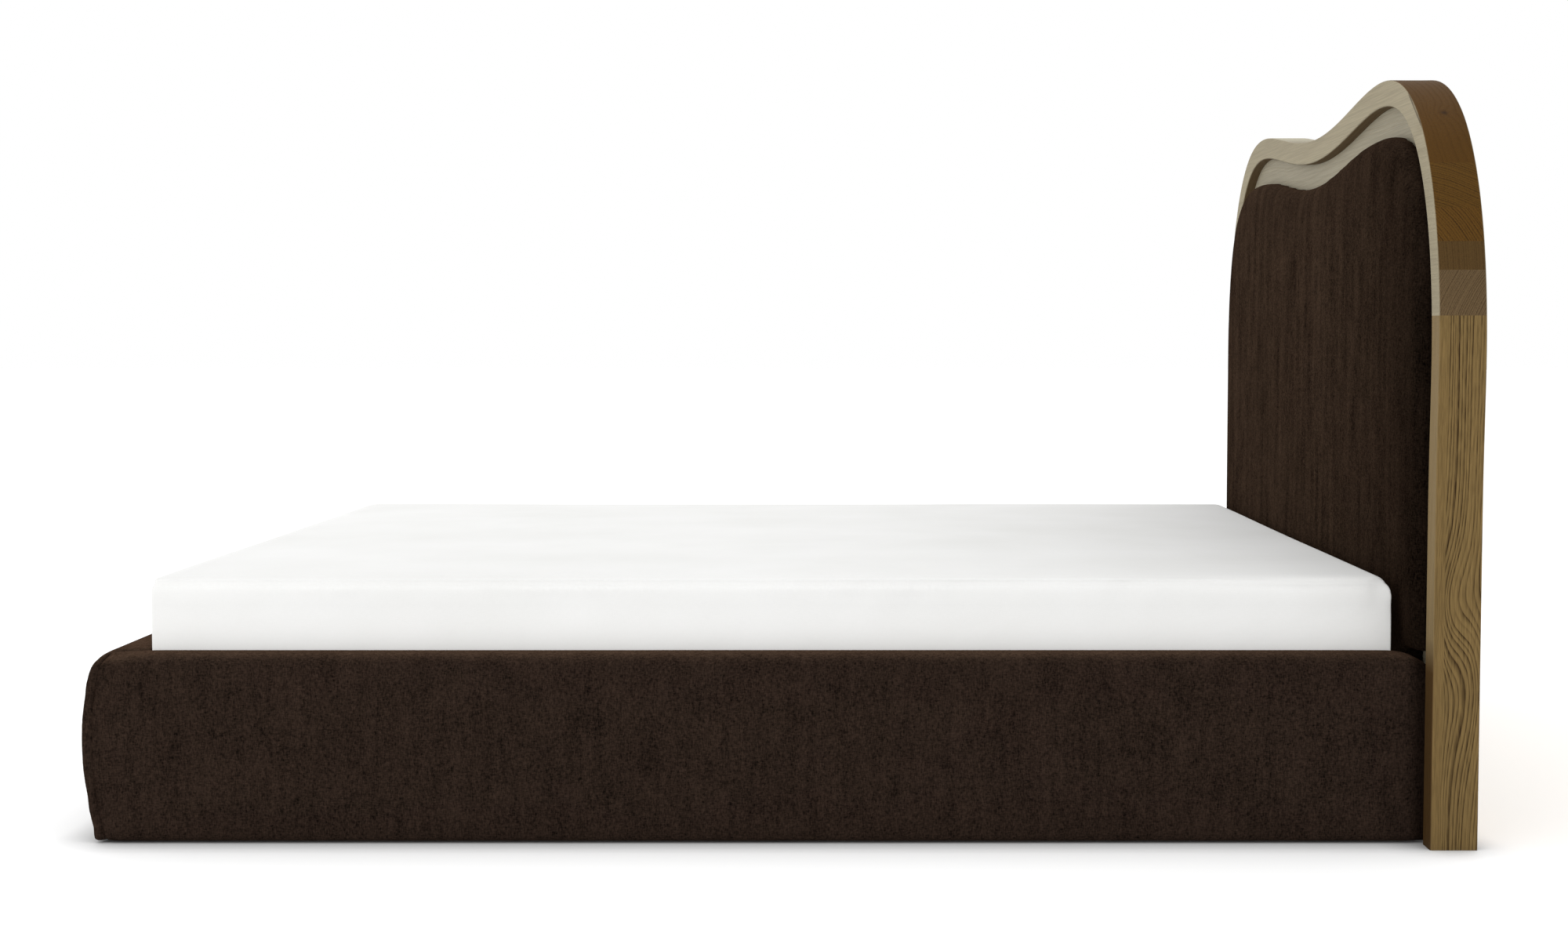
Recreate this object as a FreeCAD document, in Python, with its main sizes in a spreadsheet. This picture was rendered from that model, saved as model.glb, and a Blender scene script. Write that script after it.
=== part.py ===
import FreeCAD, Part

import math
import os
import re

import Sketcher
from FreeCAD import Rotation, Vector

# An upholstered double bed with a curved oak headboard, in millimetres. X runs across the bed, +Y to the
# headboard, +Z up. The origin is on the floor, under the middle of the bed.

doc = FreeCAD.newDocument("Bed")
sheet = doc.addObject("Spreadsheet::Sheet", "Sizes")

SIZES = [
    # headboard frame
    ("leg_half", 913, "outer face of a leg at the floor"),
    ("flare_half", 918, "outer face at the widest height"),
    ("leg_straight", 420, "height up to which the legs are straight"),
    ("seam_leg", 841, "top of the legs"),
    ("seam_one", 912, "top of the first block"),
    ("seam_two", 957, "top of the second block"),
    ("seam_three", 1010, "top of the third block"),
    ("seam_four", 1083, "top of the fourth block"),
    ("peak_half", 540, "hump, from the middle"),
    ("peak_height", 1246, "top of the humps"),
    ("dip_height", 1197, "top of the dip"),
    ("band", 44, "width of the frame seen from the front"),
    ("front", 1032, "front face of the frame"),
    ("depth", 75, "thickness of the frame"),
    ("recess", 20, "set-back of the panel"),
    ("rebate", 14, "step that the panel and the back cover sit in"),
    ("ease", 2.5, "rounding of the oak edges"),
    ("gap", 0.4, "play round the panel and the back cover"),
    ("dowel_dia", 8, "dowel"),
    ("dowel_long", 40, "dowel"),
    # panel, posts and back
    ("panel_thick", 18, "oak veneered panel"),
    ("panel_low", 40, "underside of the panel, the posts and the lowest crossbar"),
    ("post_thick", 23, "posts and crossbars"),
    ("post_in", 804, "inner side of a post"),
    ("post_out", 882, "outer side of a post"),
    ("post_high", 880, "top of the posts"),
    ("bar_high", 80, "height of a crossbar"),
    ("bar_two", 430, "underside of the second crossbar"),
    ("bar_three", 800, "underside of the third crossbar"),
    ("bar_four", 1040, "underside of the shaping bar behind the humps"),
    ("bar_four_half", 640, "half length of the shaping bar"),
    ("back_thick", 9, "back cover"),
    ("back_low", 340, "underside of the back cover"),
    # headboard pad
    ("pad_half", 862, "half width of the pad"),
    ("pad_peak", 1149, "top of the pad at the humps"),
    ("pad_dip", 1104, "top of the pad at the dip"),
    ("pad_thick", 42, "pad, from its front to the panel"),
    ("pad_round", 20, "rounding of the pad's front edge"),
    ("pad_low", 200, "underside of the pad"),
    ("pad_step", 305.2, "underside of the pad where it passes over the side rails"),
    ("pad_step_half", 786, "half width of the pad between the side rails"),
    ("board_thick", 12, "plywood inside the pad"),
    ("board_inset", 14, "edge of the pad round its board"),
    # side rails and footboard
    ("rail_out", 868.5, "outer face of a side rail cover"),
    ("rail_in", 803, "inner face of a side rail cover"),
    ("rail_top", 308, "crest"),
    ("rail_low", 6.5, "underside of the covers"),
    ("head_round", 97, "radius in which the crest falls at the headboard"),
    ("head_fall", 67, "length of that fall"),
    ("core_out", 848, "outer face of a side rail core"),
    ("glide_x", 822, "middle of a glide under a side rail"),
    ("glide_dia", 26, "glide"),
    ("core_in", 808, "inner face of a side rail core"),
    ("core_top", 288, "top of the cores"),
    ("core_low", 10.5, "underside of the cores"),
    ("core_clip", 40, "chamfer of a side core under the rounded crest"),
    ("foot_out", 1107, "foot face at the fullest height"),
    ("foot_full", 157, "fullest height of the foot face"),
    ("foot_top_out", 1088.5, "foot face at the crest"),
    ("foot_low_out", 1087, "foot face at the underside"),
    ("foot_in", 1014, "inner face of the foot cover"),
    ("foot_core_in", 1019, "inner face of the foot core"),
    ("foot_core_out", 1060, "outer face of the foot core"),
    ("skin", 20, "foot cover in front of the side covers"),
    ("crest_round", 20, "outer rounding of the crest"),
    ("corner_round", 24, "upright corners of the foot"),
    ("inner_round", 12, "inner rounding of the crest"),
    ("lap_low", 190, "lower edge of the cover inside the bed"),
    # carcass
    ("cross_front", 1012, "front face of the head crossrail"),
    ("cross_low", 26, "underside of the head crossrail"),
    ("slat_low", 180, "underside of the slats"),
    ("slat_thick", 18, "slat"),
    ("slat_wide", 80, "slat"),
    ("slat_half", 800, "half length of a slat"),
    ("slat_first", 960, "middle of the outermost slats"),
    ("ledger_in", 773, "inner face of a ledger"),
    ("ledger_low", 140, "underside of a ledger"),
        ("beam_half", 30, "half width of the centre beam"),
    ("beam_low", 100, "underside of the centre beam"),
    ("plate", 3, "steel of the beam hangers"),
    ("shoe_long", 50, "length of a hanger's shelf"),
    ("shoe_wing", 50, "half width of a hanger's back plate"),
    ("shoe_low", 70, "lower edge of a hanger's back plate"),
    ("prop_side", 42, "centre leg"),
    ("prop_low", 12, "underside of a centre leg"),
    ("prop_step", 520, "spacing of the centre legs"),
    ("block_side", 45, "corner block"),
    ("angle_side", 60, "angle bracket"),
    ("angle_thick", 4, "angle bracket"),
    ("angle_low", 60, "underside of an angle bracket"),
    ("bolt_x", 828, "bed bolts"),
    ("bolt_low", 85, "lower bed bolts"),
    ("bolt_high", 225, "upper bed bolts"),
    ("bolt_dia", 8, "bed bolt"),
    ("bolt_in", 992, "tip of a bed bolt"),
    ("nut_y", 1004, "barrel nut"),
    ("nut_dia", 14, "barrel nut"),
    ("nut_long", 32, "barrel nut"),
    ("washer_dia", 24, "washer"),
    ("washer_thick", 2, "washer"),
    ("bolt_head_dia", 14, "bed bolt"),
    ("bolt_head_long", 7, "bed bolt"),
    ("screw_dia", 5, "wood screw"),
    ("screw_head", 9, "wood screw"),
    ("screw_sink", 2.5, "wood screw head"),
    # mattress
    ("mat_half", 800, "half width of the mattress"),
    ("mat_foot", 1011, "foot end of the mattress"),
    ("mat_head", 991, "head end of the mattress"),
    ("mat_top", 418, "top of the mattress"),
    ("mat_round", 28, "rounding of its top edge"),
    ("mat_corner", 34, "rounding of its corners"),
]
for row, (alias, number, note) in enumerate(SIZES, 1):
    sheet.set(f"A{row}", alias)
    sheet.set(f"B{row}", str(number))
    sheet.setAlias(f"B{row}", alias)
    sheet.set(f"C{row}", note)
doc.recompute()

NAMES = {alias for alias, _, _ in SIZES}
nodes = {}


def val(alias):
    return float(sheet.get(alias))


def bound(text):
    """An expression with the sheet's name put before each alias."""
    return re.sub(r"[a-z][a-z_]*", lambda m: "Sizes." + m[0] if m[0] in NAMES else m[0], str(text))


def box(x0, x1, y0, y1, z0, z1):
    """A block between six bound planes."""
    item = doc.addObject("Part::Box", "Block")
    for axis, size, low, high in (("x", "Length", x0, x1), ("y", "Width", y0, y1), ("z", "Height", z0, z1)):
        item.setExpression("Placement.Base." + axis, bound(low))
        item.setExpression(size, bound(f"({high}) - ({low})"))
    return item


def rod(x, y, z, axis, dia, length):
    """A cylinder that starts at a bound point and runs along axis, such as '-Y'."""
    item = doc.addObject("Part::Cylinder", "Rod")
    way = {"X": Vector(1, 0, 0), "Y": Vector(0, 1, 0), "Z": Vector(0, 0, 1)}[axis[1]]
    item.Placement.Rotation = Rotation(Vector(0, 0, 1), way * (1 if axis[0] == "+" else -1))
    for name, where in (("x", x), ("y", y), ("z", z)):
        item.setExpression("Placement.Base." + name, bound(where))
    item.setExpression("Radius", bound(f"({dia}) / 2"))
    item.setExpression("Height", bound(length))
    return item


def fuse(*items):
    item = doc.addObject("Part::MultiFuse", "Joined")
    item.Shapes = list(items)
    return item


def group(*items):
    item = doc.addObject("Part::Compound", "Group")
    item.Links = list(items)
    return item


def cut(base, *tools):
    """base with every tool taken out of it."""
    for tool in tools:
        item = doc.addObject("Part::Cut", "Cut")
        item.Base, item.Tool = base, tool
        base = item
    return base


def solid(shape):
    """A shape that neither a primitive nor a body can give, such as one cut from a spline outline."""
    item = doc.addObject("Part::Feature", "Shaped")
    item.Shape = shape
    item.Placement = FreeCAD.Placement()
    return item


def node(name, item):
    item.Label = name
    nodes[name] = item
    return item


def screw(x, y, z, axis, length):
    """A flush wood screw: its head starts at the point and the shank runs on along axis."""
    step = Vector(0, 0, 0)
    setattr(step, axis[1].lower(), 1 if axis[0] == "+" else -1)
    start = [f"({p}) + ({s}) * screw_sink / 2" for p, s in zip((x, y, z), step)]
    shank = rod(*start, axis, "screw_dia", f"{length} - screw_sink / 2")
    return fuse(rod(x, y, z, axis, "screw_head", "screw_sink"), shank)


# ---------------------------------------------------------------- outlines of the headboard

SHOULDER = [(665, 1226), (775, 1164), (855, 1064), (900, 950)]
PAD_SHOULDER = [(650, 1140), (730, 1109), (788, 1060), (830, 985), (853, 900)]


def wave(dip, peak, fractions):
    """Points of the smooth rise from the dip to a hump, a little hollower than a cosine."""
    half = val("peak_half")
    return [(half * t, dip + (peak - dip) * (1 - math.cos(math.pi * t**1.08)) / 2) for t in fractions]


def arch(points, low):
    """A spline through the points of one half and their mirror image, upright at both ends, as a curve
    from the left foot of the arch to the right one. low is the height of its ends."""
    right = [Vector(x, 0, z) for x, z in points]
    left = [Vector(-x, 0, z) for x, z in reversed(points) if x > 0]
    curve = Part.BSplineCurve()
    upright = {"InitialTangent": Vector(0, 0, 1), "FinalTangent": Vector(0, 0, -1), "Scale": False}
    curve.interpolate(Points=left + right, **upright)
    assert abs(curve.StartPoint.z - low) < 1e-6
    return curve


def inset(curve, by, count=56):
    """The curve moved inwards by a distance, as a spline through evenly spaced points of it."""
    first, last = curve.FirstParameter, curve.LastParameter
    moved = []
    for i in range(count + 1):
        at = first + (last - first) * i / count
        way = curve.tangent(at)[0]
        moved.append(curve.value(at) + Vector(way.z, 0, -way.x) * by)
    result = Part.BSplineCurve()
    upright = {"InitialTangent": Vector(0, 0, 1), "FinalTangent": Vector(0, 0, -1), "Scale": False}
    result.interpolate(Points=moved, **upright)
    return result


def slab(curve, low, y0, y1, step=None):
    """The area under an arch down to the height low, made solid from y0 to y1. step narrows its foot:
    (height, half width)."""
    a, b = curve.StartPoint, curve.EndPoint
    corners = [b]
    if step:
        height, half = step
        corners += [Vector(b.x, 0, height), Vector(half, 0, height), Vector(half, 0, low)]
        corners += [Vector(-half, 0, low), Vector(-half, 0, height), Vector(a.x, 0, height)]
    else:
        corners += [Vector(b.x, 0, low), Vector(a.x, 0, low)]
    corners.append(a)
    edges = [curve.toShape()] + [Part.LineSegment(p, q).toShape() for p, q in zip(corners, corners[1:])]
    face = Part.Face(Part.Wire(Part.__sortEdges__(edges)))
    face.translate(Vector(0, y0, 0))
    return face.extrude(Vector(0, y1 - y0, 0))


front, depth = val("front"), val("depth")
back = front + depth
panel_front = front + val("recess")
panel_back = panel_front + val("panel_thick")
post_back = panel_back + val("post_thick")
straight = val("leg_straight")

outer = arch(
    wave(val("dip_height"), val("peak_height"), (0, 0.4, 0.75, 1))
    + SHOULDER
    + [(val("flare_half"), val("seam_leg")), (val("leg_half") + 1.5, 620), (val("leg_half"), straight)],
    straight,
)
inner = inset(outer, val("band"))
rebated = inset(outer, val("band") - val("rebate"))
fitted = inset(outer, val("band") - val("rebate") + val("gap"))

# ---------------------------------------------------------------- headboard frame

frame = slab(outer, 0, front, back).cut(slab(inner, -10, front - 10, back + 10))
frame = frame.cut(slab(rebated, -10, panel_front, back + 10))


def outline_edges(shape, y, curve):
    """Edges of the shape in the plane y that lie on the curve or on the uprights under its ends."""
    found = []
    for edge in shape.Edges:
        box_ = edge.BoundBox
        if abs(box_.YMin - y) > 0.01 or abs(box_.YMax - y) > 0.01 or box_.ZLength < 1:
            continue
        mid = edge.valueAt((edge.FirstParameter + edge.LastParameter) / 2)
        flat = Part.Vertex(Vector(mid.x, 0, max(mid.z, straight)))
        if curve.toShape().distToShape(flat)[0] < 0.05:
            found.append(edge)
    return found


sharp = outline_edges(frame, front, outer) + outline_edges(frame, front, inner)
sharp += outline_edges(frame, back, outer)
frame = frame.makeFillet(val("ease"), sharp)

seams = [val(a) for a in ("seam_leg", "seam_one", "seam_two", "seam_three", "seam_four")]
wide = 1000.0


def between(shape, x0, x1, z0, z1):
    """The part of a shape between two upright and two level planes."""
    piece = shape.common(Part.makeBox(x1 - x0, 400, z1 - z0, Vector(x0, front - 100, z0)))
    return piece.removeSplitter()


def crossing(curve, height):
    """Where the right half of an arch reaches a height."""
    line = Part.LineSegment(Vector(600, 0, height), Vector(wide, 0, height))
    return curve.intersectCC(line)[0].X


dowels = []
for height in seams:
    middle = (crossing(outer, height) + crossing(inner, height)) / 2
    for side in (-1, 1):
        low = f"{height} - dowel_long / 2"
        dowels.append(rod(side * middle, "front + recess / 2", low, "+Z", "dowel_dia", "dowel_long"))
dowels = node("arch_dowels", group(*dowels))

for side, (x0, x1) in {"left": (-wide, 0), "right": (0, wide)}.items():
    blocks = [(f"headboard_leg_{side}", 0, seams[0])]
    blocks += [(f"headboard_block_{i}_{side}", seams[i - 1], seams[i]) for i in range(1, 5)]
    for name, z0, z1 in blocks:
        node(name, cut(solid(between(frame, x0, x1, z0, z1)), dowels))
node("headboard_top_board", cut(solid(between(frame, -wide, wide, seams[-1], 1400)), dowels))

# ---------------------------------------------------------------- panel, posts, crossbars and back cover

pad_screws = node("pad_screws", group(*[
    screw(x, "front + recess + panel_thick", z, "-Y", 26) for x in (-600, -200, 200, 600) for z in (350, 920)
]))

bolt_holes = []
bolts, washers, nuts = [], [], []
for sign in ("-", ""):
    for height in ("bolt_low", "bolt_high"):
        x = f"{sign}bolt_x"
        seat = "front + recess + panel_thick + post_thick"
        bolt_holes.append(rod(x, seat, height, "-Y", "bolt_dia + 1", f"{seat} - bolt_in + 2"))
        start = f"{seat} + washer_thick + 1"
        shank = rod(x, start, height, "-Y", "bolt_dia", f"{start} - bolt_in")
        head = rod(x, f"{seat} + washer_thick", height, "+Y", "bolt_head_dia", "bolt_head_long")
        bolts.append(fuse(shank, head))
        ring = rod(x, seat, height, "+Y", "washer_dia", "washer_thick")
        washers.append(cut(ring, rod(x, seat, height, "+Y", "bolt_dia + 0.4", "washer_thick")))
        nuts.append(rod(f"{sign}core_in", "nut_y", height, "-X" if sign else "+X", "nut_dia", "nut_long"))
bolts = node("bed_bolts", group(*bolts))
node("bed_bolt_washers", group(*washers))
nut_bodies = group(*nuts)
node("barrel_nuts", cut(nut_bodies, bolts))
bolt_holes = group(*bolt_holes)

back_screws = []
for z in (380, 610, 850):
    for x in ("-(post_in + post_out) / 2", "(post_in + post_out) / 2"):
        back_screws.append(screw(x, "front + recess + panel_thick + post_thick + back_thick", z, "-Y", 24))
for x in (-420, 0, 420):
    for z in ("bar_two + bar_high / 2", "bar_three + bar_high / 2", "bar_four + 35"):
        back_screws.append(screw(x, "front + recess + panel_thick + post_thick + back_thick", z, "-Y", 24))
back_screws = node("back_cover_screws", group(*back_screws))

panel = solid(slab(fitted, val("panel_low"), panel_front, panel_back))
node("headboard_panel", cut(panel, pad_screws, bolt_holes))
cover = solid(slab(fitted, val("back_low"), post_back, post_back + val("back_thick")))
node("headboard_back_cover", cut(cover, back_screws))

y0, y1 = "front + recess + panel_thick", "front + recess + panel_thick + post_thick"
for side, x0, x1 in (("left", "-post_out", "-post_in"), ("right", "post_in", "post_out")):
    post = box(x0, x1, y0, y1, "panel_low", "post_high")
    node(f"headboard_post_{side}", cut(post, bolt_holes, back_screws))
for name, half_long, low, high in (
    ("low", "post_in", "panel_low", "panel_low + bar_high"),
    ("middle", "post_in", "bar_two", "bar_two + bar_high"),
    ("upper", "post_in", "bar_three", "bar_three + bar_high"),
    ("arch", "bar_four_half", "bar_four", "bar_four + 70"),
):
    bar = box(f"-{half_long}", half_long, y0, y1, low, high)
    node(f"headboard_crossbar_{name}", cut(bar, back_screws))

# ---------------------------------------------------------------- headboard pad

pad_curve = arch(
    wave(val("pad_dip"), val("pad_peak"), (0, 0.4, 0.75, 1)) + PAD_SHOULDER + [(val("pad_half"), 800)], 800
)
pad_front = panel_front - val("pad_thick")
step = (val("pad_step"), val("pad_step_half"))
pad = slab(pad_curve, val("pad_low"), pad_front, panel_front, step)
rim = [e for e in pad.Edges if e.BoundBox.YMax < pad_front + 0.01 and e.BoundBox.ZMax > val("pad_step") + 1]
pad = pad.makeFillet(val("pad_round"), rim)
inset_by = val("board_inset")
board_curve = inset(pad_curve, inset_by)
board_step = (val("pad_step") + inset_by, val("pad_step_half") - inset_by)
board_face = panel_front - val("board_thick")
board = slab(board_curve, val("pad_low") + inset_by, board_face, panel_front, board_step)
node("headboard_pad", cut(solid(pad), solid(board)))
node("headboard_pad_board", cut(solid(board), pad_screws))

# ---------------------------------------------------------------- side rail and footboard covers


def foot_profile(inwards=0.0):
    """The bed base from the side: a flat top, a full foot face and a rounded crest at the headboard."""
    top, low = val("rail_top"), val("rail_low")
    upper = Vector(0, inwards - val("foot_top_out"), top)
    full = Vector(0, inwards - val("foot_out"), val("foot_full"))
    lower = Vector(0, inwards - val("foot_low_out"), low)
    r = val("head_round")
    start, turn = panel_front - val("head_fall"), math.asin(val("head_fall") / r)
    crest, bend, tip = (
        Vector(0, start + r * math.sin(a), top - r + r * math.cos(a)) for a in (0, turn / 2, turn)
    )
    heel = Vector(0, panel_front, low)
    edges = [
        Part.Arc(lower, full, upper).toShape(),
        Part.LineSegment(upper, crest).toShape(),
        Part.Arc(crest, bend, tip).toShape(),
        Part.LineSegment(tip, heel).toShape(),
        Part.LineSegment(heel, lower).toShape(),
    ]
    return Part.Face(Part.Wire(edges))


half = val("rail_out")
base = foot_profile()
base.translate(Vector(-half, 0, 0))
base = base.extrude(Vector(2 * half, 0, 0))


def edges_where(shape, test):
    return [e for e in shape.Edges if test(e.BoundBox)]


def on(value, target):
    return abs(value - target) < 0.05


top = val("rail_top")
corner = edges_where(base, lambda b: b.XLength < 1 and b.YMax < -1000 and b.ZLength > 100)
base = base.makeFillet(val("corner_round"), corner)
crest = edges_where(base, lambda b: on(b.ZMin, top) and on(b.ZMax, top) and b.YMax < panel_front)
crest = [e for e in crest if not (e.BoundBox.YLength < 1 and e.BoundBox.YMin > 900)]
base = base.makeFillet(val("crest_round"), crest)
well = Part.makeBox(
    2 * val("rail_in"), 2400, 400, Vector(-val("rail_in"), -val("foot_in"), 0)
)
base = base.cut(well)
lip = edges_where(base, lambda b: on(b.ZMin, top) and on(b.ZMax, top) and (
    (on(abs(b.XMin), val("rail_in")) and b.XLength < 1) or (on(b.YMin, -val("foot_in")) and b.YLength < 1)
))
base = base.makeFillet(val("inner_round"), lip)

# ---------------------------------------------------------------- bed frame

skin_side = foot_profile(val("skin"))
skin_side.translate(Vector(-half, 0, 0))
skin_side = skin_side.extrude(Vector(2 * half, 0, 0))
beside = {
    "left": Part.makeBox(wide - val("rail_in"), 2400, 400, Vector(-wide, -1200, 0)),
    "right": Part.makeBox(wide - val("rail_in"), 2400, 400, Vector(val("rail_in"), -1200, 0)),
}
inside = box("-core_in", "core_in", "-foot_core_in", "front + recess + 20", "rail_low - 5", "lap_low")

glides = []
glide_places = [(f"{s}glide_x", y) for s in ("", "-") for y in (-900, 0, 900)]
glide_places += [(x, "-(foot_core_in + foot_core_out) / 2") for x in (-300, 300)]
for x, y in glide_places:
    glides.append(fuse(rod(x, y, 0, "+Z", "glide_dia", "rail_low"), rod(x, y, 3, "+Z", 3, 32)))
glides = node("glides", group(*glides))

frame_screws, block_screws, blocks, angle_screws, angles, ledger_screws = [], [], [], [], [], []
for sign, way, back_way in (("-", "-X", "+X"), ("", "+X", "-X")):

    def across(low, high):
        """The two ends of a piece that lies between these distances from the middle plane."""
        return (f"-({high})", f"-({low})") if sign else (low, high)

    middle = "-(foot_core_in + foot_core_out) / 2"
    frame_screws += [screw(f"{sign}core_out", middle, z, back_way, 90) for z in (120, 180, 240)]
    x0, x1 = across("core_in - block_side", "core_in")
    blocks.append(box(x0, x1, "-foot_core_in", "block_side - foot_core_in", "core_low", "ledger_low"))
    face = f"{sign}(core_in - block_side)"
    block_screws += [screw(face, "block_side / 2 - foot_core_in", z, way, 70) for z in (35, 115)]
    x = f"{sign}(core_in - block_side / 2)"
    block_screws += [screw(x, "block_side - foot_core_in", z, "-Y", 70) for z in (62, 88)]
    x0, x1 = across("core_in - angle_thick", "core_in")
    z0, z1 = "angle_low", "angle_low + angle_side"
    leaf = box(x0, x1, "cross_front - angle_side", "cross_front", z0, z1)
    x0, x1 = across("core_in - angle_side", "core_in")
    angles.append(fuse(leaf, box(x0, x1, "cross_front - angle_thick", "cross_front", z0, z1)))
    for z in (75, 105):
        angle_screws.append(screw(f"{sign}(core_in - angle_thick)", "cross_front - 42", z, way, 30))
        angle_screws.append(screw(f"{sign}(core_in - 42)", "cross_front - angle_thick", z, "+Y", 30))
    for y in (-750, -450, -150, 150, 450, 750):
        ledger_screws.append(screw(f"{sign}ledger_in", y, "(ledger_low + slat_low) / 2", way, 60))
frame_screws = node("frame_screws", group(*frame_screws))
block_screws = node("corner_block_screws", group(*block_screws))
angle_screws = node("angle_bracket_screws", group(*angle_screws))
ledger_screws = node("ledger_screws", group(*ledger_screws))

SLATS = 14
slats, slat_screws = [], []
for i in range(SLATS):
    y = f"slat_first * {2 * i - SLATS + 1} / {SLATS - 1}"
    top_of_slat = "slat_low + slat_thick"
    slats.append(
        box("-slat_half", "slat_half", f"{y} - slat_wide / 2", f"{y} + slat_wide / 2", "slat_low", top_of_slat)
    )
    slat_screws += [screw(x, y, top_of_slat, "-Z", 42) for x in ("-(ledger_in + 17)", "ledger_in + 17")]
slat_screws = node("slat_screws", group(*slat_screws))
node("slats", cut(group(*slats), slat_screws))

hangers, hanger_screws = [], []
for y, sign in (("-foot_core_in", "+"), ("cross_front", "-")):

    def along(low, high):
        """The two ends of a piece that lies between these distances from the hanger's wall."""
        ends = (f"{y} {sign} ({low})", f"{y} {sign} ({high})")
        return ends if sign == "+" else ends[::-1]

    y0, y1 = along(0, "plate")
    plate = box("-shoe_wing", "shoe_wing", y0, y1, "shoe_low", "slat_low")
    y0, y1 = along(0, "plate + shoe_long")
    shelf = box("-(beam_half + plate)", "beam_half + plate", y0, y1, "beam_low - plate", "beam_low")
    cheeks = [
        box(x0, x1, y0, y1, "beam_low - plate", "slat_low - 20")
        for x0, x1 in (("-(beam_half + plate)", "-beam_half"), ("beam_half", "beam_half + plate"))
    ]
    hangers.append(fuse(plate, shelf, *cheeks))
    for x in (-41, 41):
        for z in (88, 160):
            hanger_screws.append(screw(x, f"{y} {sign} plate", z, "-Y" if sign == "+" else "+Y", 30))
hanger_screws = node("beam_hanger_screws", group(*hanger_screws))
node("beam_hangers", cut(group(*hangers), hanger_screws))
node("centre_beam", box(
    "-beam_half", "beam_half", "plate - foot_core_in", "cross_front - plate", "beam_low", "slat_low"
))

feet, props = [], []
for y in ("-prop_step", "0", "prop_step"):
    feet.append(fuse(rod(0, y, 0, "+Z", 36, "prop_low"), rod(0, y, "prop_low / 2", "+Z", 8, 40)))
    props.append(
        box("-prop_side / 2", "prop_side / 2", f"{y} - prop_side / 2", f"{y} + prop_side / 2",
            "prop_low", "beam_low")
    )
feet = node("levelling_feet", group(*feet))
node("centre_legs", cut(group(*props), feet))

foot_core = box("-core_in", "core_in", "-foot_core_out", "-foot_core_in", "core_low", "core_top")
for side, x0, x1 in (("left", "-core_out", "-core_in"), ("right", "core_in", "core_out")):
    plank = box(x0, x1, "-foot_core_out", "front + recess", "core_low", "core_top")
    clip = doc.addObject("Part::Box", "Clip")
    clip.Placement.Rotation = Rotation(Vector(1, 0, 0), 45)
    for prop, text in (
        ("Placement.Base.x", x0), ("Placement.Base.y", "front + recess"),
        ("Placement.Base.z", "core_top - core_clip"),
        ("Length", "core_out - core_in"), ("Width", "core_clip"), ("Height", "core_clip * 1.4143"),
    ):
        clip.setExpression(prop, bound(text))
    core = cut(plank, clip)
    cover = solid(base.common(skin_side).common(beside[side]))
    node(f"side_rail_cover_{side}", cut(cover, core, foot_core, inside, glides))
    tools = (bolt_holes, nut_bodies, frame_screws, block_screws, angle_screws, ledger_screws, glides)
    node(f"side_rail_{side}", cut(core, *tools))
    x0, x1 = ("-core_in", "-ledger_in") if side == "left" else ("ledger_in", "core_in")
    ledger = box(x0, x1, "-foot_core_in", "cross_front", "ledger_low", "slat_low")
    node(f"ledger_{side}", cut(ledger, ledger_screws, slat_screws))

foot_cover = solid(base.cut(skin_side.common(beside["left"])).cut(skin_side.common(beside["right"])))
node("footboard_cover", cut(foot_cover, foot_core, inside, glides))
node("footboard_core", cut(foot_core, frame_screws, block_screws, hanger_screws, glides))
node("corner_blocks", cut(group(*blocks), block_screws))
node("angle_brackets", cut(group(*angles), angle_screws))
cross = box("-core_in", "core_in", "cross_front", "front + recess", "cross_low", "slat_low")
node("head_crossrail", cut(cross, angle_screws, hanger_screws))

# ---------------------------------------------------------------- mattress

body = doc.addObject("PartDesign::Body", "Mattress")
plane = next(f for f in body.Origin.OriginFeatures if f.Role == "XY_Plane")
sketch = body.newObject("Sketcher::SketchObject", "MattressOutline")
sketch.AttachmentSupport = [(plane, "")]
sketch.MapMode = "FlatFace"
sketch.setExpression("AttachmentOffset.Base.z", bound("slat_low + slat_thick"))
ends = [Vector(-800, -1000, 0), Vector(800, -1000, 0), Vector(800, 1000, 0), Vector(-800, 1000, 0)]
for p, q in zip(ends, ends[1:] + ends[:1]):
    sketch.addGeometry(Part.LineSegment(p, q), False)
for i in range(4):
    sketch.addConstraint(Sketcher.Constraint("Coincident", i, 2, (i + 1) % 4, 1))
    sketch.addConstraint(Sketcher.Constraint("Vertical" if i % 2 else "Horizontal", i))
for kind, ends, alias in (
    ("DistanceX", (-1, 1, 0, 2), "mat_half"), ("DistanceX", (0, 1, -1, 1), "mat_half"),
    ("DistanceY", (0, 1, -1, 1), "mat_foot"), ("DistanceY", (-1, 1, 2, 1), "mat_head"),
):
    number = sketch.addConstraint(Sketcher.Constraint(kind, *ends, val(alias)))
    sketch.setExpression(f"Constraints[{number}]", bound(alias))
block = body.newObject("PartDesign::Pad", "MattressBlock")
block.Profile = sketch
block.setExpression("Length", bound("mat_top - slat_low - slat_thick"))
doc.recompute()


def rounded(base_feature, alias, test):
    """A fillet of the body on the edges that pass the test."""
    edges = [f"Edge{i}" for i, e in enumerate(base_feature.Shape.Edges, 1) if test(e.BoundBox)]
    item = body.newObject("PartDesign::Fillet", "Rounded")
    item.Base = (base_feature, edges)
    item.setExpression("Radius", bound(alias))
    doc.recompute()
    return item


corners = rounded(block, "mat_corner", lambda b: b.ZLength > 50)
rounded(corners, "mat_round", lambda b: b.ZMin > val("mat_top") - 1)
node("mattress", body)

# ---------------------------------------------------------------- export

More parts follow.
